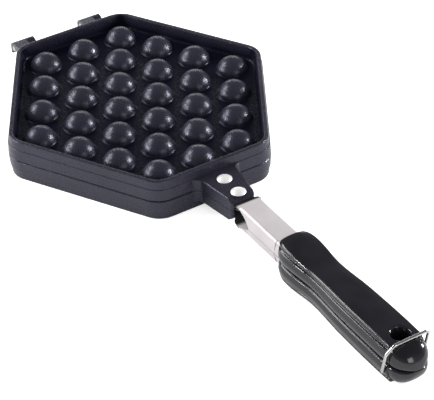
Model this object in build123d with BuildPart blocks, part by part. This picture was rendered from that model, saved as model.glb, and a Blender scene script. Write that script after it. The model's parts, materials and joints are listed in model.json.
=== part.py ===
from build123d import *

import os
from math import cos, radians, sin, sqrt

# Egg waffle pan: two cast plates with cups, hinged at the back and carried by a split handle.
# +X runs along the handle, +Z is up. The origin is the middle of the footprint, on the table.
# Heights named here are measured up from the parting plane, where the two halves meet.
# The lower half is the mirror image of the upper one, apart from the hinge and the latch.

# ---------------------------------------------------------------- driving sizes, millimetres

# Cups and plates
cup_pitch = 27.5
cups_per_side = 6  # cups along the middle row
outer_rows = 3  # rows on each side of the middle row
dome_radius = 10.3
cup_wall = 2.0
dome_centre = 3.3
sheet_depth = 2.2  # room for batter between a plate's seat and its floor
floor_thickness = 2.4
half_height = 13.7
seat_gap = 0.15  # half of the gap between the closed plates
rim_margin = 15.8  # from the outermost cup centres to the tray wall
rim_width = 2.7
rim_corner = 11.5
rim_round = 0.9
skirt_spread = 0.6
flange_spread = 1.4
band_height = 8.0
band_draft = 0.4
ledge_round = 0.5
seat_edge = 0.5
tray_draft = 1.2
tray_round = 2.0
batter_margin = 10.5
dome_fillet = 1.4
cup_lip = 0.8

# Hinge
hinge_setback = 17.6  # from the plate's back wall to the hinge axis
hinge_spacing = 49.5
knuckle_radius = 4.2
pin_radius = 2.0
pin_clearance = 0.05
hook_width = 9.0
ear_width = 5.6
side_clearance = 0.4
hook_lip = 0.6
hook_opening = 0.6
arm_root = 5.4

# Tang, the cast tongue that carries the handle
tang_length = 29.6
tang_root_half = 11.8
tang_end_half = 7.9
tang_flare = 5.2
tang_roof = 3.0
tang_ramp = 4.0
tang_corner = 2.2
tang_round = 0.9
wall_bite = 3.0  # how far an arm or tang runs into the wall that it grows from
pocket_start = 1.6  # from the plate's wall to the hollow under the tang

# Neck, the pressed steel strap between tang and grip
steel = 1.5
tongue_half = 6.0
tongue_clearance = 0.2
tongue_round = 2.0
crank_gap = 0.4
crank_length = 5.6
neck_top = 7.9
neck_half = 7.4
neck_flare = 1.6
crank_half = 8.0
neck_bend = 1.9
crank_bend = 2.0
relief_length = 13.0
tail_half = 5.4
tail_length = 76.0

# Rivets
rivet_radius = 2.4
rivet_inset = 9.1  # from the wall to the first rivet
rivet_spacing = 15.1
rivet_head_radius = 4.6
rivet_head_height = 1.9
rivet_tail_radius = 3.5
rivet_tail_height = 1.2

# Grips
grip_front = 74.8  # from the plate's front wall to the grip's nose
grip_gap = 0.35  # half of the gap between the closed grips
grip_length = 122.6
nose_half = 10.3
nose_height = 12.9
nose_round = 7.5
nose_plan_round = 10.7
cheek_at = 12.5
cheek_half = 10.6
cheek_height = 13.3
waist_at = 34.0
waist_half = 9.6
waist_height = 12.0
palm_at = 60.0
palm_half = 10.9
palm_height = 12.9
heel_at = 90.0
heel_half = 11.8
heel_height = 13.3
tail_at = 110.5
end_half = 11.9
end_height = 13.2
crown = 0.9
ridge_share = 0.82
belly_share = 0.45
bottom_inset = 1.2
ridge_round = 1.5
bottom_round = 1.6
socket_clearance = 0.15
hole_from_end = 17.0
hole_radius = 5.5
hole_flare = 0.8
ball_half = 11.3
ball_round = 5.4
ball_foot_round = 1.6

# Grip screws and their moulded-in inserts
screw_at = 16.0
screw_spacing = 48.0
screw_radius = 1.9
screw_clearance = 0.1
screw_head_radius = 3.4
screw_head_height = 2.3
screw_slot = 0.9
screw_slot_depth = 1.1
insert_radius = 3.1
insert_height = 3.0
insert_clearance = 0.02

# Latch bail
wire_radius = 0.9
wire_clearance = 0.08
pivot_from_end = 14.4
pivot_depth = 5.5  # how far the pivot lies below the parting plane
bail_lean = 4.3
bail_rise = 19.5
bail_half = 13.2
bail_grip = 4.8
bail_top_half = 9.0
bail_shoulder = 5.6
bail_bend = 2.6
bail_foot_bend = 1.4
swing_clearance = 0.5

# ---------------------------------------------------------------- places worked out from them

row_pitch = cup_pitch * cos(radians(30))
ring_end = outer_rows * row_pitch  # outermost cup centres, towards hinge and handle
ring_side = (cups_per_side - 1) / 2 * row_pitch  # the same, towards the four slanted sides
rim_outer = rim_margin + rim_width
skirt_margin = rim_outer + skirt_spread
flange_margin = rim_outer + flange_spread
wall_reach = ring_end + flange_margin

# The two ends of the object set where the pan's centre lies, so that the footprint is centred.
hinge_reach = wall_reach + hinge_setback + knuckle_radius
handle_reach = wall_reach + grip_front + grip_length
pan_x = (hinge_reach - handle_reach) / 2
parting_z = half_height

front_wall = pan_x + wall_reach
back_wall = pan_x - wall_reach
hinge_x = back_wall - hinge_setback
nose_x = front_wall + grip_front
end_x = nose_x + grip_length

batter_roof = sheet_depth
tray_floor = sheet_depth + floor_thickness
cup_radius = dome_radius - cup_wall
tang_end = front_wall + tang_length
tongue_top = band_height - tang_roof
pocket_x = front_wall + pocket_start
tongue_start = pocket_x + tongue_clearance
crank_start = tang_end + crank_gap
crank_end = crank_start + crank_length
tail_end = nose_x + tail_length
flange_end = nose_x - socket_clearance
rivet_places = [front_wall + rivet_inset + step * rivet_spacing for step in range(2)]
screw_places = [nose_x + screw_at + step * screw_spacing for step in range(2)]
hole_x = end_x - hole_from_end
pivot_x = end_x - pivot_from_end
pivot_z = parting_z - pivot_depth
bail_reach = sqrt(bail_lean**2 + bail_rise**2)
ball_centre = end_x - ball_half
ball_sweep = bail_reach - wire_radius - swing_clearance
body_end = nose_x + tail_at
foot_tip = ball_half - bail_grip

parting = Plane.XY.offset(parting_z)
tiny = 0.01  # how close two positions must be to count as the same

cup_centres = [
    (pan_x + row * row_pitch, (cup - (cups_per_side - abs(row) - 1) / 2) * cup_pitch)
    for row in range(-outer_rows, outer_rows + 1)
    for cup in range(cups_per_side - abs(row))
]


# ---------------------------------------------------------------- shared shapes


def level(height):
    """The horizontal plane at a height above the parting plane."""
    return parting.offset(height)


def side_plane(y):
    """An upright plane along the handle. Extruding from it runs towards -Y."""
    return Plane(origin=(0, y, parting_z), x_dir=(1, 0, 0), z_dir=(0, -1, 0))


def cross_plane(x):
    """An upright plane across the handle, with Y to the right and Z up."""
    return Plane(origin=(x, 0, parting_z), x_dir=(0, 1, 0), z_dir=(1, 0, 0))


def hexagon(height, margin):
    """The plate's outline, a given margin outside the outermost cup centres."""
    end = ring_end + margin
    side = ring_side + margin
    shoulder = (side - end * cos(radians(60))) / sin(radians(60))
    tip = side / sin(radians(60))
    corners = [(end, shoulder), (0, tip), (-end, shoulder), (-end, -shoulder), (0, -tip), (end, -shoulder)]
    with BuildSketch(level(height)) as outline:
        with BuildLine():
            FilletPolyline(
                *[(pan_x + x, y) for x, y in corners],
                radius=rim_corner + margin - rim_margin,
                close=True,
            )
        make_face()
    return outline.sketch


def circles_at(part, height, radius):
    """The round edges of one radius that lie at one height above the parting plane."""
    return [
        edge
        for edge in part.edges().filter_by(GeomType.CIRCLE)
        if abs(edge.radius - radius) < tiny and abs(edge.center().Z - parting_z - height) < tiny
    ]


def cast_shell():
    """One plate without its hinge and tang: seat down, domes up inside a hexagonal rim."""
    with BuildPart() as shell:
        loft(
            [hexagon(seat_gap, flange_margin), hexagon(band_height, flange_margin - band_draft)],
            ruled=True,
        )
        chamfer(shell.faces().sort_by(Axis.Z)[0].edges(), seat_edge)
        fillet(shell.faces().sort_by(Axis.Z)[-1].edges(), ledge_round)
        loft([hexagon(band_height, skirt_margin), hexagon(half_height, rim_outer)], ruled=True)
        loft(
            [hexagon(tray_floor, rim_margin - tray_draft), hexagon(half_height, rim_margin)],
            ruled=True,
            mode=Mode.SUBTRACT,
        )
        fillet(shell.edges().group_by(Axis.Z)[-1], rim_round)
        floor = parting_z + tray_floor
        fillet(shell.edges().filter_by_position(Axis.Z, floor - tiny, floor + tiny), tray_round)
        with Locations(*[(x, y, parting_z + dome_centre) for x, y in cup_centres]):
            Sphere(dome_radius)
        extrude(
            hexagon(batter_roof, batter_margin),
            amount=-(batter_roof + dome_radius),
            mode=Mode.SUBTRACT,
        )
        with Locations(*[(x, y, parting_z + dome_centre) for x, y in cup_centres]):
            Sphere(cup_radius, mode=Mode.SUBTRACT)
        dome_foot = sqrt(dome_radius**2 - (tray_floor - dome_centre) ** 2)
        fillet(circles_at(shell, tray_floor, dome_foot), dome_fillet)
        cup_mouth = sqrt(cup_radius**2 - (dome_centre - batter_roof) ** 2)
        fillet(circles_at(shell, batter_roof, cup_mouth), cup_lip)
    return shell.part


def tang():
    """The upper plate's tang: flared into the wall, hollow below for the neck, sloped at its end."""
    root = tang_root_half + tang_flare
    lean = tang_flare * (1 - cos(radians(45)))
    with BuildPart() as solid:
        with BuildSketch(level(seat_gap)):
            with BuildLine():
                Polyline(
                    (front_wall - wall_bite, 0), (front_wall - wall_bite, root), (front_wall, root)
                )
                ThreePointArc(
                    (front_wall, root),
                    (front_wall + lean, tang_root_half + lean),
                    (front_wall + tang_flare, tang_root_half),
                )
                Polyline((front_wall + tang_flare, tang_root_half), (tang_end, tang_end_half), (tang_end, 0))
                mirror(about=Plane.XZ)
            make_face()
        extrude(amount=band_height - seat_gap)
        fillet(solid.edges().filter_by(Axis.Z).group_by(Axis.X)[-1], tang_corner)
        with BuildSketch(side_plane(0)):
            Polygon(
                (tang_end - tang_ramp, band_height),
                (tang_end, tongue_top),
                (tang_end, band_height),
                align=None,
            )
        extrude(amount=tang_root_half, both=True, mode=Mode.SUBTRACT)
        fillet(solid.faces().sort_by(Axis.Z)[-1].edges(), tang_round)
        with BuildSketch(level(seat_gap)):
            with Locations(((pocket_x + tang_end) / 2, 0)):
                Rectangle(tang_end - pocket_x, 2 * (tongue_half + tongue_clearance))
        extrude(amount=tongue_top - seat_gap, mode=Mode.SUBTRACT)
        with BuildSketch(level(tongue_top)):
            with Locations(*[(x, 0) for x in rivet_places]):
                Circle(rivet_radius)
        extrude(amount=tang_roof, mode=Mode.SUBTRACT)
    return solid.part


def hinge_spans(offset, width):
    """The two stretches along Y, as (high side, width), that a hinge member takes."""
    return [(centre + offset + width / 2, width) for centre in (-hinge_spacing / 2, hinge_spacing / 2)]


# Each hook hangs on the -Y part of its pin and each ear holds the +Y part.
hinge_group = hook_width + side_clearance + ear_width
hook_offset = (hook_width - hinge_group) / 2
ear_offset = (hinge_group - ear_width) / 2


def hook_profile():
    """A claw that comes over the pin from the plate and ends in a downward lip."""
    with BuildSketch(side_plane(0)) as profile:
        with Locations((hinge_x, 0)):
            Circle(knuckle_radius)
        Polygon(
            (back_wall + wall_bite, seat_gap),
            (back_wall + wall_bite, arm_root),
            (hinge_x, knuckle_radius),
            (hinge_x, seat_gap),
            align=None,
        )
        Polygon(
            (hinge_x - knuckle_radius, 0),
            (hinge_x - knuckle_radius, -knuckle_radius - hook_lip),
            (hinge_x - pin_radius, -knuckle_radius),
            (hinge_x - pin_radius, 0),
            align=None,
        )
        Polygon(
            (hinge_x - hook_opening, seat_gap),
            (hinge_x - pin_radius, -knuckle_radius - hook_lip),
            (hinge_x + knuckle_radius, -knuckle_radius - hook_lip),
            (hinge_x + knuckle_radius, seat_gap),
            align=None,
            mode=Mode.SUBTRACT,
        )
        with Locations((hinge_x, 0)):
            Circle(pin_radius + pin_clearance, mode=Mode.SUBTRACT)
    return profile.sketch


def ear_profile():
    """A knuckle on an arm from the lower plate, bored for the pin."""
    with BuildSketch(side_plane(0)) as profile:
        with Locations((hinge_x, 0)):
            Circle(knuckle_radius)
        Polygon(
            (back_wall + wall_bite, -seat_gap),
            (back_wall + wall_bite, -arm_root),
            (hinge_x, -knuckle_radius),
            (hinge_x, -seat_gap),
            align=None,
        )
        with Locations((hinge_x, 0)):
            Circle(pin_radius, mode=Mode.SUBTRACT)
    return profile.sketch


def grip_section(at, half, height):
    """One cross-section of a grip: crowned top, soft ridge, bulging side and flat parting face."""
    ridge = (half * ridge_share, height - crown)
    belly = (half, height * belly_share)
    foot = (half - bottom_inset, grip_gap)
    with BuildSketch(cross_plane(nose_x + at)) as section:
        with BuildLine():
            Line((-foot[0], foot[1]), foot)
            ThreePointArc(foot, belly, ridge)
            ThreePointArc(ridge, (0, height), (-ridge[0], ridge[1]))
            ThreePointArc((-ridge[0], ridge[1]), (-belly[0], belly[1]), (-foot[0], foot[1]))
        make_face()
        fillet(section.vertices().group_by(Axis.Y)[-1], ridge_round)
        fillet(section.vertices().group_by(Axis.Y)[0], bottom_round)
    return section.sketch


def neck_section():
    """The neck's channel: a web with two flanges that flare towards the parting plane."""
    foot = neck_half + neck_flare
    web_under = neck_top - steel
    with BuildSketch(cross_plane(crank_end)) as section:
        Polygon(
            (-foot, seat_gap), (foot, seat_gap), (neck_half, neck_top), (-neck_half, neck_top),
            align=None,
        )
        fillet(section.vertices().group_by(Axis.Y)[-1], neck_bend)
        Polygon(
            (steel - foot, seat_gap), (foot - steel, seat_gap),
            (neck_half - steel, web_under), (steel - neck_half, web_under),
            align=None,
            mode=Mode.SUBTRACT,
        )
        corners = section.vertices().filter_by_position(Axis.Y, web_under - tiny, web_under + tiny)
        fillet(corners, neck_bend - steel)
    return section.sketch


def grip():
    """The upper grip, with the slot, socket and insert holes that hold it on its neck."""
    with BuildPart() as solid:
        loft(
            [
                grip_section(0, nose_half, nose_height),
                grip_section(cheek_at, cheek_half, cheek_height),
                grip_section(waist_at, waist_half, waist_height),
                grip_section(palm_at, palm_half, palm_height),
                grip_section(heel_at, heel_half, heel_height),
                grip_section(tail_at, end_half, end_height),
            ]
        )
        with BuildSketch(parting):
            with Locations((nose_x + nose_plan_round, 0)):
                Circle(nose_plan_round)
            with Locations((nose_x + nose_plan_round, 0)):
                Rectangle(grip_length, 2 * half_height, align=(Align.MIN, Align.CENTER))
        extrude(amount=half_height, mode=Mode.INTERSECT)
        with BuildSketch(side_plane(0)) as elevation:
            with Locations((nose_x + grip_length / 2, half_height / 2)):
                Rectangle(grip_length, half_height)
            fillet(elevation.vertices().group_by(Axis.X)[0].sort_by(Axis.Y)[-1], nose_round)
        extrude(amount=half_height, both=True, mode=Mode.INTERSECT)
        add(ball_end())
        with BuildSketch(level(grip_gap)):
            with Locations(((nose_x + tail_end + socket_clearance) / 2, 0)):
                Rectangle(tail_end - nose_x + socket_clearance, 2 * (tail_half + socket_clearance))
        extrude(amount=neck_top + socket_clearance - grip_gap, mode=Mode.SUBTRACT)
        with BuildSketch(level(neck_top)):
            with Locations(*[(x, 0) for x in screw_places]):
                Circle(insert_radius)
        extrude(amount=socket_clearance + insert_height, mode=Mode.SUBTRACT)
        with BuildSketch(level(grip_gap)):
            with Locations((hole_x, 0)):
                Circle(hole_radius)
        extrude(amount=half_height, mode=Mode.SUBTRACT)
        with BuildSketch(level(end_height - crown - hole_flare)):
            with Locations((hole_x, 0)):
                Circle(hole_radius)
        extrude(amount=crown + hole_flare, taper=-45, mode=Mode.SUBTRACT)
    return solid.part


def ball_end():
    """The rounded end of a grip. Its top follows the path of the latch wire about its pivot."""
    with BuildPart() as solid:
        with BuildSketch(level(grip_gap)):
            with Locations((ball_centre, 0)):
                Circle(ball_half)
            with Locations(((body_end - ball_half + ball_centre) / 2, 0)):
                Rectangle(ball_centre - body_end + ball_half, 2 * ball_half)
        extrude(amount=end_height - grip_gap)
        with BuildSketch(side_plane(0)):
            with Locations((pivot_x, -pivot_depth)):
                Circle(ball_sweep)
        extrude(amount=2 * ball_half, both=True, mode=Mode.INTERSECT)
        for face_at, round_off in ((-1, ball_round), (0, ball_foot_round)):
            rim = solid.faces().sort_by(Axis.Z)[face_at].edges().sort_by(Axis.X)
            fillet(rim[1:], round_off)
    return solid.part


def dome_rivet():
    """A rivet along Z: domed head on the tang, shank through the strap, upset tail below."""
    strap_under = tongue_top - steel
    with BuildPart() as solid:
        with BuildSketch(side_plane(0)):
            with BuildLine():
                Polyline(
                    (0, strap_under - rivet_tail_height),
                    (rivet_tail_radius, strap_under - rivet_tail_height),
                    (rivet_tail_radius, strap_under),
                    (rivet_radius, strap_under),
                    (rivet_radius, band_height),
                    (rivet_head_radius, band_height),
                )
                RadiusArc(
                    (rivet_head_radius, band_height),
                    (0, band_height + rivet_head_height),
                    -(rivet_head_radius**2 + rivet_head_height**2) / (2 * rivet_head_height),
                )
                Line((0, band_height + rivet_head_height), (0, strap_under - rivet_tail_height))
            make_face()
        revolve(axis=Axis((0, 0, parting_z), (0, 0, 1)))
    return solid.part


def grip_screw():
    """A pan-head screw along Z: slotted head inside the channel, shank up into the insert."""
    web_under = neck_top - steel
    with BuildPart() as solid:
        with BuildSketch(level(web_under)):
            Circle(screw_head_radius)
        extrude(amount=-screw_head_height)
        fillet(solid.faces().sort_by(Axis.Z)[0].edges(), screw_head_height / 3)
        with BuildSketch(level(web_under - screw_head_height)):
            Rectangle(2 * screw_head_radius, screw_slot)
        extrude(amount=screw_slot_depth, mode=Mode.SUBTRACT)
        with BuildSketch(level(web_under)):
            Circle(screw_radius)
        extrude(amount=steel + socket_clearance + insert_height)
    return solid.part


def screw_insert():
    """A threaded sleeve moulded into a grip, flush with the roof of its slot."""
    with BuildPart() as solid:
        with BuildSketch(level(neck_top + socket_clearance)):
            Circle(insert_radius)
            Circle(screw_radius + insert_clearance, mode=Mode.SUBTRACT)
        extrude(amount=insert_height)
    return solid.part


# ---------------------------------------------------------------- cast plates

shell = cast_shell()
upper_tang = tang()

with BuildPart() as upper_plate:
    add(shell)
    add(upper_tang)
    for high, width in hinge_spans(hook_offset, hook_width):
        extrude(hook_profile().move(Location((0, high, 0))), amount=width)
upper_plate.part.label = "upper_plate"

with BuildPart() as lower_plate:
    mirror(shell, about=parting)
    mirror(upper_tang, about=parting)
    for high, width in hinge_spans(ear_offset, ear_width):
        extrude(ear_profile().move(Location((0, high, 0))), amount=width)
lower_plate.part.label = "lower_plate"

# ---------------------------------------------------------------- hinge pins

hinge_pins = []
for side, (high, width) in zip(("left", "right"), hinge_spans(0, hinge_group)):
    with BuildPart() as pin:
        with BuildSketch(side_plane(high)):
            with Locations((hinge_x, 0)):
                Circle(pin_radius)
        extrude(amount=width)
        chamfer(pin.edges().filter_by(GeomType.CIRCLE), pin_radius / 6)
    pin.part.label = f"hinge_pin_{side}"
    hinge_pins.append(pin)

# ---------------------------------------------------------------- necks

with BuildPart() as upper_neck:
    with BuildSketch(side_plane(0)) as strap:
        with BuildLine():
            Polyline(
                (tongue_start, tongue_top),
                (crank_start, tongue_top),
                (crank_end, neck_top),
                (tail_end, neck_top),
                (tail_end, neck_top - steel),
                (crank_end, neck_top - steel),
                (crank_start, tongue_top - steel),
                (tongue_start, tongue_top - steel),
                close=True,
            )
        make_face()
        bends = [v for v in strap.vertices() if crank_start - tiny < v.X < crank_end + tiny]
        fillet(bends, crank_bend)
    extrude(amount=crank_half, both=True)
    with BuildSketch(parting) as plan:
        with Locations(((tongue_start + tail_end) / 2, 0)):
            Rectangle(tail_end - tongue_start, 2 * tail_half)
        with Locations(((tongue_start + crank_start) / 2, 0)):
            Rectangle(crank_start - tongue_start, 2 * tongue_half)
        fillet(plan.vertices().group_by(Axis.X)[0], tongue_round)
        fillet(plan.vertices().group_by(Axis.X)[-1], tongue_round)
        Polygon(
            (crank_start, -tongue_half), (crank_start, tongue_half),
            (crank_start + crank_bend, crank_half), (crank_end, crank_half),
            (crank_end + crank_length, neck_half - neck_bend), (crank_end + crank_length, neck_bend - neck_half),
            (crank_end, -crank_half), (crank_start + crank_bend, -crank_half),
            align=None,
        )
    extrude(amount=half_height, mode=Mode.INTERSECT)
    extrude(neck_section(), amount=flange_end - crank_end)
    with BuildSketch(side_plane(0)):
        with BuildLine():
            Polyline(
                (crank_end + relief_length, seat_gap),
                (crank_end, seat_gap),
                (crank_end, neck_top - steel),
            )
            TangentArc(
                (crank_end, neck_top - steel), (crank_end + relief_length, seat_gap), tangent=(1, -1 / 8)
            )
        make_face()
    extrude(amount=2 * neck_half, both=True, mode=Mode.SUBTRACT)
    with BuildSketch(parting):
        with Locations(*[(x, 0) for x in rivet_places]):
            Circle(rivet_radius)
        with Locations(*[(x, 0) for x in screw_places]):
            Circle(screw_radius + screw_clearance)
    extrude(amount=half_height, mode=Mode.SUBTRACT)
upper_neck.part.label = "upper_neck"

with BuildPart() as lower_neck:
    mirror(upper_neck.part, about=parting)
lower_neck.part.label = "lower_neck"

# ---------------------------------------------------------------- rivets

rivets = []
for place, x in zip(("inner", "outer"), rivet_places):
    with BuildPart() as upper_rivet:
        add(dome_rivet().move(Location((x, 0, 0))))
    upper_rivet.part.label = f"upper_rivet_{place}"
    with BuildPart() as lower_rivet:
        mirror(upper_rivet.part, about=parting)
    lower_rivet.part.label = f"lower_rivet_{place}"
    rivets += [upper_rivet, lower_rivet]

# ---------------------------------------------------------------- grips, screws and inserts

with BuildPart() as upper_grip:
    add(grip())
upper_grip.part.label = "upper_grip"

with BuildPart() as lower_grip:
    mirror(upper_grip.part, about=parting)
    for start in (bail_half, socket_clearance - foot_tip):
        with BuildSketch(side_plane(start)):
            with Locations((pivot_x, -pivot_depth)):
                Circle(wire_radius + wire_clearance)
        extrude(amount=bail_half - foot_tip + socket_clearance, mode=Mode.SUBTRACT)
lower_grip.part.label = "lower_grip"

fixings = []
for place, x in zip(("front", "rear"), screw_places):
    with BuildPart() as upper_screw:
        add(grip_screw().move(Location((x, 0, 0))))
    upper_screw.part.label = f"upper_screw_{place}"
    with BuildPart() as lower_screw:
        mirror(upper_screw.part, about=parting)
    lower_screw.part.label = f"lower_screw_{place}"
    with BuildPart() as upper_insert:
        add(screw_insert().move(Location((x, 0, 0))))
    upper_insert.part.label = f"upper_insert_{place}"
    with BuildPart() as lower_insert:
        mirror(upper_insert.part, about=parting)
    lower_insert.part.label = f"lower_insert_{place}"
    fixings += [upper_screw, lower_screw, upper_insert, lower_insert]

# ---------------------------------------------------------------- latch bail

bail_plane = Plane(
    origin=(pivot_x, 0, pivot_z), x_dir=(0, 1, 0), z_dir=(bail_rise, 0, -bail_lean)
)
with BuildPart() as latch_bail:
    with BuildLine(bail_plane) as wire_path:
        FilletPolyline(
            (foot_tip, 0),
            (bail_half, 0),
            (bail_half, bail_reach),
            (-bail_top_half, bail_reach),
            (-bail_half, bail_reach - bail_shoulder),
            (-bail_half, 0),
            (-foot_tip, 0),
            radius=[bail_foot_bend, bail_bend, bail_bend, bail_bend, bail_foot_bend],
        )
    with BuildSketch(Plane(origin=wire_path.line @ 0, z_dir=wire_path.line % 0)):
        Circle(wire_radius)
    sweep()
latch_bail.part.label = "latch_bail"

# ---------------------------------------------------------------- files

os.makedirs("parts", exist_ok=True)
pieces = [upper_plate, lower_plate, *hinge_pins, upper_neck, lower_neck, *rivets]
pieces += [upper_grip, lower_grip, *fixings, latch_bail]
for piece in pieces:
    export_step(piece.part, f"parts/{piece.part.label}.step")
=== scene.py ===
import json
from math import cos, radians, sin

import bmesh
import bpy
from mathutils import Matrix, Vector


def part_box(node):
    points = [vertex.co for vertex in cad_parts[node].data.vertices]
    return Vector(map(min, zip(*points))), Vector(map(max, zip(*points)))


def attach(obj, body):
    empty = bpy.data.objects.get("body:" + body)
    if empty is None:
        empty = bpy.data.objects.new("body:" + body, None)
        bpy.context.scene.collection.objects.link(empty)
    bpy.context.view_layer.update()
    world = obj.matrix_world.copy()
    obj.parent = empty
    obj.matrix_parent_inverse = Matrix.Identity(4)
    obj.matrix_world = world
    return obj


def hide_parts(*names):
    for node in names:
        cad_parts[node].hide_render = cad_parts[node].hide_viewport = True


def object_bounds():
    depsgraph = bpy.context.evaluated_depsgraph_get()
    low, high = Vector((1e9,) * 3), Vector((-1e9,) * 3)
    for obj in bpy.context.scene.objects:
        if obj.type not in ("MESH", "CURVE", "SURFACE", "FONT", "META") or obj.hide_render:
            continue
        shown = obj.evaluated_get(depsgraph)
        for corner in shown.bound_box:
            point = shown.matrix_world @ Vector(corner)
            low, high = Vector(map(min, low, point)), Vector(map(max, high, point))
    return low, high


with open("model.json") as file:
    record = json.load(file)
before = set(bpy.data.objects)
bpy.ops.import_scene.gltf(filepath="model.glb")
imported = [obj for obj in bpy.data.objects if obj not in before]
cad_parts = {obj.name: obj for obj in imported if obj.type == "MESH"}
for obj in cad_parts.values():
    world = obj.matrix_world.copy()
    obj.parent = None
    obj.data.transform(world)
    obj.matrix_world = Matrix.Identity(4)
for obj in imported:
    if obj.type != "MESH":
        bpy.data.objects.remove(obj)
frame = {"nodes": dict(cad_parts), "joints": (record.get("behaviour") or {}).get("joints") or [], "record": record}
cad_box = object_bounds()
scene = bpy.context.scene
nodes = frame["nodes"]

# The batter space lies in the middle of the closed pan, so its box gives the pan's centre.
batter_sheet = next(o for o in frame["record"]["physics"]["openings"] if o["name"] == "batter_sheet")
low_corner, high_corner = (Vector(corner) for corner in batter_sheet["box_m"])
pan_centre = (low_corner + high_corner) / 2

# ---------------------------------------------------------------- camera

IMAGE_WIDTH = 434
FOCAL_PIXELS = 1827.87
CAMERA_FROM_PAN = Vector((0.83657, -0.44127, 0.63967))
CAMERA_AZIMUTH, CAMERA_ELEVATION, CAMERA_ROLL = (radians(angle) for angle in (59.383, 37.011, 2.208))


def photo_camera():
    """The camera at the photograph's viewing angle, with its principal point in the middle."""
    back = Vector((
        sin(CAMERA_AZIMUTH) * cos(CAMERA_ELEVATION),
        -cos(CAMERA_AZIMUTH) * cos(CAMERA_ELEVATION),
        sin(CAMERA_ELEVATION),
    ))
    level_right = (-back).cross(Vector((0, 0, 1))).normalized()
    level_down = (-back).cross(level_right)
    right = cos(CAMERA_ROLL) * level_right + sin(CAMERA_ROLL) * level_down
    down = cos(CAMERA_ROLL) * level_down - sin(CAMERA_ROLL) * level_right
    data = bpy.data.cameras.new("photo_camera")
    data.sensor_width = 36.0
    data.lens = FOCAL_PIXELS * data.sensor_width / IMAGE_WIDTH
    camera = bpy.data.objects.new("photo_camera", data)
    scene.collection.objects.link(camera)
    turn = Matrix((right, -down, back)).transposed().to_4x4()
    camera.matrix_world = Matrix.Translation(pan_centre + CAMERA_FROM_PAN) @ turn
    return camera


scene.camera = photo_camera()

# ---------------------------------------------------------------- node helpers


def new_material(name):
    """An empty material with its Principled shader, ready for nodes."""
    material = bpy.data.materials.new(name)
    material.use_nodes = True
    tree = material.node_tree
    return material, tree, tree.nodes["Principled BSDF"]


def node(tree, kind, inputs=None, **settings):
    """One node with its settings, its plain inputs as values and its linked inputs as sockets."""
    made = tree.nodes.new(kind)
    for name, value in settings.items():
        setattr(made, name, value)
    for name, value in (inputs or {}).items():
        if isinstance(value, bpy.types.NodeSocket):
            tree.links.new(value, made.inputs[name])
        else:
            made.inputs[name].default_value = value
    return made


EVEN = (1, 1, 1)
ALONG_X = (0.03, 1, 1)  # draws a noise out into lines along the handle


def stretched(tree, scale=EVEN):
    """Object coordinates, scaled along each axis."""
    place = node(tree, "ShaderNodeTexCoord").outputs["Object"]
    return node(tree, "ShaderNodeMapping", {"Vector": place, "Scale": scale}).outputs["Vector"]


def maths(tree, operation, *values):
    """One arithmetic step on plain numbers and sockets."""
    return node(tree, "ShaderNodeMath", dict(enumerate(values)), operation=operation).outputs[0]


def vector_maths(tree, operation, one, other):
    """One step on two vectors or colours. A dot product comes out as a plain value."""
    made = node(tree, "ShaderNodeVectorMath", {0: one, 1: other}, operation=operation)
    return made.outputs["Value" if operation == "DOT_PRODUCT" else "Vector"]


def noise(tree, vector, scale, detail=2.0, roughness=0.5):
    """The grey value of a noise texture."""
    made = node(
        tree, "ShaderNodeTexNoise",
        {"Vector": vector, "Scale": scale, "Detail": detail, "Roughness": roughness},
    )
    return made.outputs["Fac"]


def between(tree, value, low, high, start=0.0, end=1.0):
    """A value stretched from start..end to low..high."""
    made = node(
        tree, "ShaderNodeMapRange",
        {"Value": value, "From Min": start, "From Max": end, "To Min": low, "To Max": high},
    )
    return made.outputs["Result"]


def shades(tree, value, dark, light, start=0.3, end=0.7):
    """A colour that runs from dark to light with a value."""
    ramp = node(tree, "ShaderNodeValToRGB", {"Fac": value})
    first, last = ramp.color_ramp.elements
    first.position, last.position = start, end
    first.color, last.color = (*dark, 1), (*light, 1)
    return ramp.outputs["Color"]


def bump(tree, height, distance, strength, under=None):
    """A bump whose full height is a distance in metres, on top of another one if there is one."""
    inputs = {"Height": height, "Distance": distance, "Strength": strength}
    if under is not None:
        inputs["Normal"] = under
    return node(tree, "ShaderNodeBump", inputs).outputs["Normal"]


# ---------------------------------------------------------------- materials

TRAY_REACH = 0.0872  # from the pan's centre to the tray wall, towards the hinge and the handle
TRAY_SIDE = 0.0753  # the same, towards the four slanted sides
TRAY_WALL = 0.0036  # the width of the sloped wall
TRAY_EDGE = 0.001  # the width over which the painted shade fades in
TRAY_FLOOR = 0.0046  # above the parting plane
CUP_RISE = 0.0028  # how far the painted shade reaches up the cups
SLANTS = ((0, TRAY_REACH), (60, TRAY_SIDE), (-60, TRAY_SIDE))  # the hexagon's three pairs of sides


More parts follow.
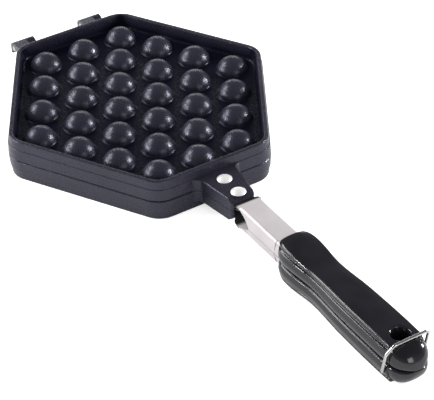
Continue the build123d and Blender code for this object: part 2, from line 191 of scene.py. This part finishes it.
def painted_tray_shade(tree):
    """Where painted shade falls in the tray: 1 on its floor and walls, 0 on the rims and the cups' tops."""
    place = node(tree, "ShaderNodeTexCoord").outputs["Object"]
    from_pan = vector_maths(tree, "SUBTRACT", place, pan_centre)
    past_walls = []
    for turn, reach in SLANTS:
        across = (cos(radians(turn)), sin(radians(turn)), 0)
        away = maths(tree, "ABSOLUTE", vector_maths(tree, "DOT_PRODUCT", from_pan, across))
        past_walls.append(maths(tree, "SUBTRACT", away, reach))
    outside = maths(tree, "MAXIMUM", maths(tree, "MAXIMUM", *past_walls[:2]), past_walls[2])
    inside = between(tree, outside, 1.0, 0.0, -TRAY_EDGE, 0.0)
    on_wall = between(tree, outside, 0.0, 1.0, -TRAY_WALL - TRAY_EDGE, -TRAY_WALL)
    height = node(tree, "ShaderNodeSeparateXYZ", {"Vector": from_pan}).outputs["Z"]
    from_parting = maths(tree, "ABSOLUTE", height)
    above_floor = maths(tree, "ABSOLUTE", maths(tree, "SUBTRACT", from_parting, TRAY_FLOOR))
    on_floor = between(tree, above_floor, 1.0, 0.0, 0.0, CUP_RISE)
    return maths(tree, "MULTIPLY", inside, maths(tree, "MAXIMUM", on_floor, on_wall))


def nonstick_cast():
    """Satin charcoal non-stick coat on cast aluminium with a fine sprayed grain, and painted shade between the
    cups: darker, bluer and less shiny on the tray's floor and walls.
    """
    material, tree, shader = new_material("nonstick_cast")
    place = stretched(tree)
    grain = noise(tree, place, 1000, 3.0, 0.7)
    clouds = noise(tree, place, 55, 3.0)
    # painted shade: the tray's floor and walls, which the cups and walls shade, get a darker, bluer colour
    tray_shade_mask = painted_tray_shade(tree)
    coat = shades(tree, clouds, (0.0130, 0.0124, 0.0205), (0.0180, 0.0172, 0.0275))
    shade = shades(tree, tray_shade_mask, (1, 1, 1), (0.22, 0.25, 0.40), 0.0, 1.0)
    tree.links.new(vector_maths(tree, "MULTIPLY", coat, shade), shader.inputs["Base Color"])
    tree.links.new(between(tree, grain, 0.22, 0.36, 0.3, 0.7), shader.inputs["Roughness"])
    # painted shade: less reflection on the tray's floor and walls
    tree.links.new(between(tree, tray_shade_mask, 0.5, 0.12), shader.inputs["Specular IOR Level"])
    shader.inputs["Specular Tint"].default_value = (0.80, 0.80, 1.0, 1)
    waves = bump(tree, clouds, 0.0004, 0.3)
    tree.links.new(bump(tree, grain, 0.00022, 0.6, waves), shader.inputs["Normal"])
    return material


GRAIN_DEPTH = 0.00002
PAINTED_SHADE_EDGE = 0.002  # the width over which the painted shade gives way to the metal's own colour
PAINTED_SHADE_LEVEL = 0.03  # the share of the metal's colour that shows through the painted shade


def bare_metal(name, dark, light, grain, roughness, metal=1.0, painted_shade_to=None):
    """Bare metal between two colours and two roughnesses, with its grain stretched along an axis.

    It is less than fully metallic where it is dulled, and up to a place along X it is painted black and less
    shiny, as painted shade inside the tang.
    """
    material, tree, shader = new_material(name)
    lines = noise(tree, stretched(tree, grain), 900, 3.0, 0.6)
    stains = noise(tree, stretched(tree), 60, 2.0)
    colour = shades(tree, stains, dark, light)
    if painted_shade_to is not None:
        # painted shade: black, less shiny and less metallic up to a place along X, where the tang shades the neck
        place = node(tree, "ShaderNodeTexCoord").outputs["Object"]
        along_pan = node(tree, "ShaderNodeSeparateXYZ", {"Vector": place}).outputs["X"]
        unshaded = between(tree, along_pan, PAINTED_SHADE_LEVEL, 1.0, painted_shade_to - PAINTED_SHADE_EDGE, painted_shade_to)
        colour = vector_maths(tree, "MULTIPLY", colour, unshaded)
        tree.links.new(maths(tree, "MULTIPLY", unshaded, 0.5), shader.inputs["Specular IOR Level"])
        tree.links.new(maths(tree, "MULTIPLY", unshaded, metal), shader.inputs["Metallic"])
    else:
        shader.inputs["Metallic"].default_value = metal
    tree.links.new(colour, shader.inputs["Base Color"])
    tree.links.new(between(tree, lines, *roughness, 0.3, 0.7), shader.inputs["Roughness"])
    tree.links.new(bump(tree, lines, GRAIN_DEPTH, 0.6), shader.inputs["Normal"])
    return material


def grip_plastic():
    """Glossy black phenolic plastic with faint clouds and rub marks."""
    material, tree, shader = new_material("grip_plastic")
    place = stretched(tree)
    clouds = noise(tree, place, 70, 1.0)
    rubs = noise(tree, place, 90, 1.0)
    black = shades(tree, clouds, (0.006, 0.006, 0.0085), (0.010, 0.0095, 0.0135))
    tree.links.new(black, shader.inputs["Base Color"])
    tree.links.new(between(tree, rubs, 0.13, 0.17, 0.35, 0.75), shader.inputs["Roughness"])
    shader.inputs["Specular IOR Level"].default_value = 0.5
    return material


def brass():
    """Brass with faint tarnish."""
    material, tree, shader = new_material("insert_brass")
    tarnish = noise(tree, stretched(tree), 300, 3.0)
    colour = shades(tree, tarnish, (0.55, 0.4, 0.18), (0.72, 0.56, 0.28))
    tree.links.new(colour, shader.inputs["Base Color"])
    tree.links.new(between(tree, tarnish, 0.25, 0.4), shader.inputs["Roughness"])
    shader.inputs["Metallic"].default_value = 1.0
    return material


CRANK_END = 0.0400  # where the neck leaves the tang's shade

finishes = {
    "nonstick_cast": nonstick_cast(),
    "neck_steel": bare_metal(
        "neck_steel", (0.45, 0.42, 0.43), (0.51, 0.48, 0.49), ALONG_X, (0.34, 0.46),
        # painted shade on the neck up to CRANK_END, inside the tang's shade
        metal=0.25, painted_shade_to=CRANK_END,
    ),
    "rivet_aluminium": bare_metal(
        "rivet_aluminium", (0.86, 0.85, 0.85), (0.93, 0.92, 0.92), EVEN, (0.3, 0.45), metal=0.5
    ),
    "pin_steel": bare_metal("pin_steel", (0.42, 0.41, 0.40), (0.5, 0.49, 0.48), EVEN, (0.3, 0.42)),
    "grip_plastic": grip_plastic(),
    "screw_steel": bare_metal("screw_steel", (0.5, 0.5, 0.5), (0.62, 0.62, 0.62), EVEN, (0.25, 0.38)),
    "insert_brass": brass(),
    "bail_wire": bare_metal("bail_wire", (0.48, 0.47, 0.47), (0.6, 0.59, 0.58), EVEN, (0.16, 0.28)),
}

# ---------------------------------------------------------------- the part's own pieces


def dress(name, slot):
    """Gives a carried-over piece its finish."""
    piece = nodes[name]
    piece.data.materials.clear()
    piece.data.materials.append(finishes[slot])


for part in frame["record"]["subparts"]:
    dress(part["node"], part["material_slot"])

# ---------------------------------------------------------------- grips and the ends of the necks

MM = 0.001  # the sizes in this section are in millimetres
end_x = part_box("upper_grip")[1].x / MM
parting_z = pan_centre.z / MM
hanging_hole = next(m for m in frame["record"]["mounts"] if m["name"] == "hanging_hole")
hole_x = round(hanging_hole["pos_m"][0] / MM, 3)
hole_radius = hanging_hole["dims"]["r_mm"]
latch_pivot = next(j for j in frame["joints"] if j["name"] == "latch_swing")["pos_m"]

NOSE_X, NOSE_LENGTH = 83.0, 10.0
NOSE_EDGE = 1.5  # the round edge of the nose's flat face
NOSE_EDGE_RINGS = ((1.0, 0.0), (0.55, 0.12), (0.2, 0.45))  # its inset and how far along, as shares of it
NOSE_STEPS, BODY_STEPS, BALL_STEPS = 10, 40, 26
GRIP_GAP = 0.35  # half of the gap between the closed grips
# how far from the nose, half the width, height over the parting plane
STATIONS = (
    (10, 12.3, 13.4), (16, 12.1, 13.3), (34, 10.7, 12.3), (60, 11.9, 13.0), (90, 12.2, 13.3), (105.9, 11.9, 13.2),
)
NOSE_SWELL, NOSE_DROP = 4.3, 0.5  # how much narrower and lower the nose's tip is
BALL_HALF, BALL_TOP = 11.3, 12.9
BALL_OVERLAP = 4  # how much shorter than a whole ball it is, where it runs into the body
BALL_TIP_GAP = 0.02  # keeps its tip inside the CAD grip's box
LEDGE_RINGS = ((0.35, 0.15), (0.6, 0.6))  # how far past the palm, and how much smaller
PIVOT_X, PIVOT_DEPTH = round(latch_pivot[0] / MM, 3), round(parting_z - latch_pivot[2] / MM, 3)
WIRE_SWEEP = 18.57  # the ball's top keeps inside this radius from the wire's pivot
SLOT_HALF, SLOT_TOP, SLOT_END = 5.55, 8.05, 154.5  # the slot for the neck's tail
RIDGE_RADIUS, RIDGE_INSET, RIDGE_FALL = 2.0, 1.1, 2.75  # the arc, and its centre from edge and top
RIDGE_TURNS = (-12, 12, 32, 50, 66, 80)  # degrees from level
SHARP_ANGLE = 62  # degrees


def eased(stations, at):
    """Half width and height at a place between stations, by a smooth curve through all of them."""
    places = [row[0] for row in stations]
    last = len(stations) - 1
    k = max(i for i in range(last) if places[i] <= at or i == 0)
    step = places[k + 1] - places[k]
    t = (at - places[k]) / step
    values = []
    for column in (1, 2):
        def slope(i):
            before, after = max(i - 1, 0), min(i + 1, last)
            if i == 0:
                return 0.0
            return (stations[after][column] - stations[before][column]) / (places[after] - places[before])
        start, end = stations[k][column], stations[k + 1][column]
        values.append(
            (2 * t**3 - 3 * t**2 + 1) * start + (t**3 - 2 * t**2 + t) * step * slope(k)
            + (3 * t**2 - 2 * t**3) * end + (t**3 - t**2) * step * slope(k + 1)
        )
    return values


def curve_through(points, steps=6):
    """Points on a smooth curve through the given ones."""
    made = []
    for k in range(len(points) - 1):
        a, b, c, d = (points[min(max(i, 0), len(points) - 1)] for i in range(k - 1, k + 3))
        for step in range(steps):
            t = step / steps
            made.append(tuple(
                0.5 * (2 * q + (r - p) * t + (2 * p - 5 * q + 4 * r - v) * t**2 + (3 * q - p - 3 * r + v) * t**3)
                for p, q, r, v in zip(a, b, c, d)
            ))
    return made + [points[-1]]


def grip_outline(half, height):
    """One side of a grip's section, from the foot up: belly, shoulder, finger cove, ridge and crown."""
    belly = (half, 0.34 * height)
    shoulder = (half - 0.5, 0.60 * height)
    ridge = [
        (
            0.80 * half - RIDGE_INSET + RIDGE_RADIUS * cos(radians(turn)),
            height - RIDGE_FALL + RIDGE_RADIUS * sin(radians(turn)),
        )
        for turn in RIDGE_TURNS
    ]
    cove_foot = (shoulder[0] - 1.3, shoulder[1] + 1.15)
    cove = (ridge[0][0] - 0.35, (ridge[0][1] + cove_foot[1]) / 2)
    foot = [(half - 2.6, GRIP_GAP), (half - 1.3, GRIP_GAP + 0.5), (half - 0.5, GRIP_GAP + 1.7)]
    shoulder_turn = [(shoulder[0] + 0.1, shoulder[1] - 1.0), (shoulder[0] - 0.3, shoulder[1] + 0.5)]
    crown = [(0.4 * half, height - 0.2), (0, height)]
    return [(0, GRIP_GAP)] + curve_through([*foot, belly, *shoulder_turn, cove_foot, cove, *ridge, *crown])


def ball_outline(half, height):
    """One side of the ball end's section: a rounded square that grows rounder towards the top."""
    foot = min(2.2, 0.3 * height, 0.5 * half)
    rise = height - GRIP_GAP - foot
    turns = [radians(90 * k / 14) for k in range(15)]
    rounded = [(half - foot * (1 - sin(turn)), GRIP_GAP + foot * (1 - cos(turn))) for turn in turns[:-1:3]]
    dome = [(half * cos(turn) ** 0.72, GRIP_GAP + foot + rise * sin(turn) ** 0.8) for turn in turns]
    return [(0, GRIP_GAP)] + rounded + dome


def skinned(name, rings):
    """A closed mesh through rings, each a place along X and one side of its outline."""
    mesh = bpy.data.meshes.new(name)
    shell = bmesh.new()
    loops = []
    for x, outline in rings:
        whole = outline + [(-y, z) for y, z in reversed(outline[1:-1])]
        loops.append([shell.verts.new((x * MM, y * MM, (parting_z + z) * MM)) for y, z in whole])
    for one, two in zip(loops, loops[1:]):
        for k in range(len(one)):
            after = (k + 1) % len(one)
            shell.faces.new((one[k], two[k], two[after], one[after]))
    shell.faces.new(loops[0])
    shell.faces.new(reversed(loops[-1]))
    bmesh.ops.recalc_face_normals(shell, faces=shell.faces)
    shell.to_mesh(mesh)
    shell.free()
    piece = bpy.data.objects.new(name, mesh)
    scene.collection.objects.link(piece)
    return piece


def joined(piece, other, operation):
    """The piece after one cut or one union with another mesh, which is then gone."""
    change = piece.modifiers.new("change", "BOOLEAN")
    change.operation, change.object, change.solver = operation, other, "EXACT"
    ready = piece.evaluated_get(bpy.context.evaluated_depsgraph_get())
    changed = bpy.data.meshes.new_from_object(ready)
    piece.modifiers.clear()
    piece.data = changed
    bpy.data.objects.remove(other)
    return piece


def nose_outline(roundness, inset=0.0):
    """A section of the nose, from its tip, where the roundness is 0, to its root, where it is 1."""
    _, half, height = STATIONS[0]
    return grip_outline(
        half - NOSE_SWELL * (1 - roundness) - inset, height - NOSE_DROP * (1 - roundness) - inset
    )


def grip_body():
    """The grip from its round nose, past the waist and palm, to the ledge before the ball end."""
    rings = []
    for inset, along in NOSE_EDGE_RINGS:
        at = along * NOSE_EDGE
        roundness = (1 - (1 - at / NOSE_LENGTH) ** 2) ** 0.5
        rings.append((NOSE_X + at, nose_outline(roundness, inset * NOSE_EDGE)))
    for step in range(2, NOSE_STEPS):
        turn = radians(90 * step / NOSE_STEPS)
        rings.append((NOSE_X + NOSE_LENGTH * (1 - cos(turn)), nose_outline(sin(turn))))
    palm_end, half, height = STATIONS[-1]
    for step in range(BODY_STEPS + 1):
        at = NOSE_LENGTH + (palm_end - NOSE_LENGTH) * step / BODY_STEPS
        rings.append((NOSE_X + at, grip_outline(*eased(STATIONS, at))))
    for past, inset in LEDGE_RINGS:
        rings.append((NOSE_X + palm_end + past, grip_outline(half - inset, height - inset)))
    return skinned("grip", rings)


def ball_end():
    """The ball end. Its top keeps clear of the arc that the latch wire sweeps about its pivot."""
    rings = []
    start, centre, end = end_x - 2 * BALL_HALF + BALL_OVERLAP, end_x - BALL_HALF, end_x - BALL_TIP_GAP
    for step in range(BALL_STEPS + 1):
        x = start + (end - start) * sin(radians(90 * step / BALL_STEPS))
        off = max(x - centre, 0) / BALL_HALF
        half = BALL_HALF * max(1 - off**2, 0.0004) ** 0.5
        roof = (WIRE_SWEEP**2 - (x - PIVOT_X) ** 2) ** 0.5 - PIVOT_DEPTH
        height = min(roof, BALL_TOP) * max(1 - off**5, 0.0006) ** 0.42
        rings.append((x, ball_outline(half, max(height, GRIP_GAP + 0.05))))
    return skinned("ball", rings)


def cutter(shape, centre):
    """A cutter from a finished shape in metres, at a place in millimetres."""
    mesh = bpy.data.meshes.new("cutter")
    shape.to_mesh(mesh)
    shape.free()
    made = bpy.data.objects.new("cutter", mesh)
    made.location = Vector(centre) * MM
    scene.collection.objects.link(made)
    return made


def box_cutter(centre, size):
    """A box cutter."""
    shape = bmesh.new()
    bmesh.ops.create_cube(shape, size=1.0, matrix=Matrix.Diagonal((*(v * MM for v in size), 1)))
    return cutter(shape, centre)


def round_cutter(centre, low_radius, high_radius, depth):
    """An upright round cutter, a cone where its two radii differ."""
    shape = bmesh.new()
    bmesh.ops.create_cone(
        shape, cap_ends=True, segments=64,
        radius1=low_radius * MM, radius2=high_radius * MM, depth=depth * MM,
    )
    return cutter(shape, centre)


def mirrored(piece, name):
    """The same piece turned over about the parting plane."""
    mesh = piece.data.copy()
    to_parting = Matrix.Translation((0, 0, pan_centre.z))
    mesh.transform(to_parting @ Matrix.Scale(-1, 4, (0, 0, 1)) @ to_parting.inverted())
    mesh.flip_normals()
    twin = bpy.data.objects.new(name, mesh)
    scene.collection.objects.link(twin)
    return twin


def fitted(piece, name, slot, body, stands_for=None):
    """Names, dresses and smooths a piece, and sets it to ride on its body."""
    piece.name = piece.data.name = name
    piece.data.materials.clear()
    piece.data.materials.append(finishes[slot])
    piece.data.shade_smooth()
    piece.data.set_sharp_from_angle(angle=radians(SHARP_ANGLE))
    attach(piece, body)
    if stands_for:
        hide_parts(stands_for)


NECK_START, NECK_END = 77.6, 88.0
NECK_FOOT = 0.2  # over the parting plane
NECK_WEB = (6.4, 7.84)  # the under and upper face of the web
NECK_INSIDE = ((5.2, NECK_WEB[0]), (5.9, 5.7), (7.4, NECK_FOOT))
NECK_EDGE = 8.9  # the outer edge of its flanges
NECK_BEND = ((7.4, 6.0), (7.2, 6.9), (6.5, 7.58), (5.4, NECK_WEB[1]))


def neck_end():
    """The last of the neck's open channel, which runs into the grip's nose."""
    inside = [(0, NECK_WEB[0]), *NECK_INSIDE]
    outside = [(NECK_EDGE, NECK_FOOT), *curve_through(NECK_BEND), (0, NECK_WEB[1])]
    return skinned("neck_end", [(NECK_START, inside + outside), (NECK_END, inside + outside)])


HOLE_MIDDLE, HOLE_DEPTH = 7, 16  # the hole's cut: its middle over the parting plane, and its depth
FLARE_MIDDLE, FLARE_DEPTH = 13, 2.4  # the same for its flared mouth
FLARE_LOW, FLARE_HIGH = 5.0, 7.2  # the flare's radii
SLOT_RUN = 2  # how far the slot's cut runs past the nose and its own end, together

grip = joined(grip_body(), ball_end(), "UNION")
joined(
    grip, round_cutter((hole_x, 0, parting_z + HOLE_MIDDLE), hole_radius, hole_radius, HOLE_DEPTH), "DIFFERENCE"
)
joined(
    grip, round_cutter((hole_x, 0, parting_z + FLARE_MIDDLE), FLARE_LOW, FLARE_HIGH, FLARE_DEPTH), "DIFFERENCE"
)
slot_centre = ((NOSE_X + SLOT_END) / 2, 0, parting_z + SLOT_TOP / 2)
slot_size = (SLOT_END - NOSE_X + SLOT_RUN, 2 * SLOT_HALF, SLOT_TOP)
# This cut doesn't work: it takes nothing out and leaves the cutter's own walls in the mesh.
joined(grip, box_cutter(slot_centre, slot_size), "DIFFERENCE")
fitted(mirrored(grip, "lower_grip_moulding"), "lower_grip_moulding", "grip_plastic", "lower", "lower_grip")
fitted(grip, "upper_grip_moulding", "grip_plastic", "upper", "upper_grip")
neck = neck_end()
fitted(mirrored(neck, "lower_neck_end"), "lower_neck_end", "neck_steel", "lower")
fitted(neck, "upper_neck_end", "neck_steel", "upper")

# ---------------------------------------------------------------- studio

FLOOR_SIZE = 6.0
FLOOR_GLOW = 0.62  # what the floor adds to the camera's view, and to nothing else
ROOM_LIGHT = 0.9  # what the room gives to matt surfaces
ROOM_SHINE = 0.4  # what shiny surfaces see of its walls
CEILING_SHINE = 0.16  # and of its ceiling
WALL_TOP, CEILING_START = 0.12, 0.5  # the rise of the view between which one fades into the other


def background():
    """A room that is white to the camera. Shiny surfaces see grey walls and a darker ceiling."""
    world = bpy.data.worlds.new("studio")
    scene.world = world
    world.use_nodes = True
    tree = world.node_tree
    tree.nodes.clear()
    path = node(tree, "ShaderNodeLightPath")
    towards = node(tree, "ShaderNodeTexCoord").outputs["Generated"]
    rise = node(tree, "ShaderNodeSeparateXYZ", {"Vector": towards}).outputs["Z"]
    walls = between(tree, rise, ROOM_SHINE, CEILING_SHINE, WALL_TOP, CEILING_START)
    shiny = maths(tree, "MAXIMUM", path.outputs["Is Glossy Ray"], path.outputs["Is Transmission Ray"])
    matt = maths(tree, "MULTIPLY", maths(tree, "SUBTRACT", 1.0, shiny), ROOM_LIGHT)
    lit = maths(tree, "ADD", matt, maths(tree, "MULTIPLY", shiny, walls))
    strength = maths(tree, "MAXIMUM", lit, path.outputs["Is Camera Ray"])
    room = node(tree, "ShaderNodeBackground", {"Color": (1, 1, 1, 1), "Strength": strength})
    out = node(tree, "ShaderNodeOutputWorld")
    tree.links.new(room.outputs[0], out.inputs["Surface"])


def floor():
    """A wide pale sheet under the pan, which shows white to the camera and keeps the shadow."""
    mesh = bpy.data.meshes.new("floor")
    sheet = bmesh.new()
    bmesh.ops.create_grid(sheet, x_segments=2, y_segments=2, size=FLOOR_SIZE / 2)
    sheet.to_mesh(mesh)
    sheet.free()
    piece = bpy.data.objects.new("floor", mesh)
    piece.location.z = cad_box[0].z
    scene.collection.objects.link(piece)
    material, tree, shader = new_material("floor_paper")
    path = node(tree, "ShaderNodeLightPath")
    paper = shades(tree, noise(tree, stretched(tree), 30), (0.86, 0.86, 0.86), (0.88, 0.88, 0.88))
    tree.links.new(paper, shader.inputs["Base Color"])
    shader.inputs["Roughness"].default_value = 0.9
    shader.inputs["Specular IOR Level"].default_value = 0.0
    glow = maths(tree, "MULTIPLY", path.outputs["Is Camera Ray"], FLOOR_GLOW)
    tree.links.new(glow, shader.inputs["Emission Strength"])
    shader.inputs["Emission Color"].default_value = (1, 1, 1, 1)
    piece.data.materials.append(material)


# the azimuth and elevation it shines from, its distance, width and height, and its watts per square metre
SOFTBOXES = {
    "side_box": (72, 20, 1.3, 0.16, 0.16, 560),  # the glint on the cups' right sides
    "back_box": (150, 12, 1.4, 0.9, 0.16, 12),  # the light along the cups' upper edges
    "ridge_box": (213, 36, 1.3, 0.7, 0.24, 48),  # the streak on the grips' ridges
    "shoulder_box": (225, 14, 1.3, 0.6, 0.2, 40),  # the streak on their shoulders
    "near_box": (4, 16, 1.3, 0.5, 0.4, 13),  # the patch on the ball ends
    "left_box": (246, 17, 1.3, 0.14, 0.12, 330),  # the glint on the cups' left sides
}


def softbox(name, azimuth, elevation, distance, width, height, level):
    """A softbox that faces the object. Azimuth 0 stands towards +X and 90 towards +Y."""
    data = bpy.data.lights.new(name, "AREA")
    data.shape = "RECTANGLE"
    data.size, data.size_y = width, height
    data.energy = level * width * height
    lamp = bpy.data.objects.new(name, data)
    scene.collection.objects.link(lamp)
    around, up = radians(azimuth), radians(elevation)
    away = Vector((cos(around) * cos(up), sin(around) * cos(up), sin(up)))
    lamp.location = away * distance
    lamp.rotation_euler = away.to_track_quat("Z", "Y").to_euler()
    lamp.visible_camera = False


background()
floor()
for box_name, setting in SOFTBOXES.items():
    softbox(box_name, *setting)

scene.view_settings.view_transform = "Standard"
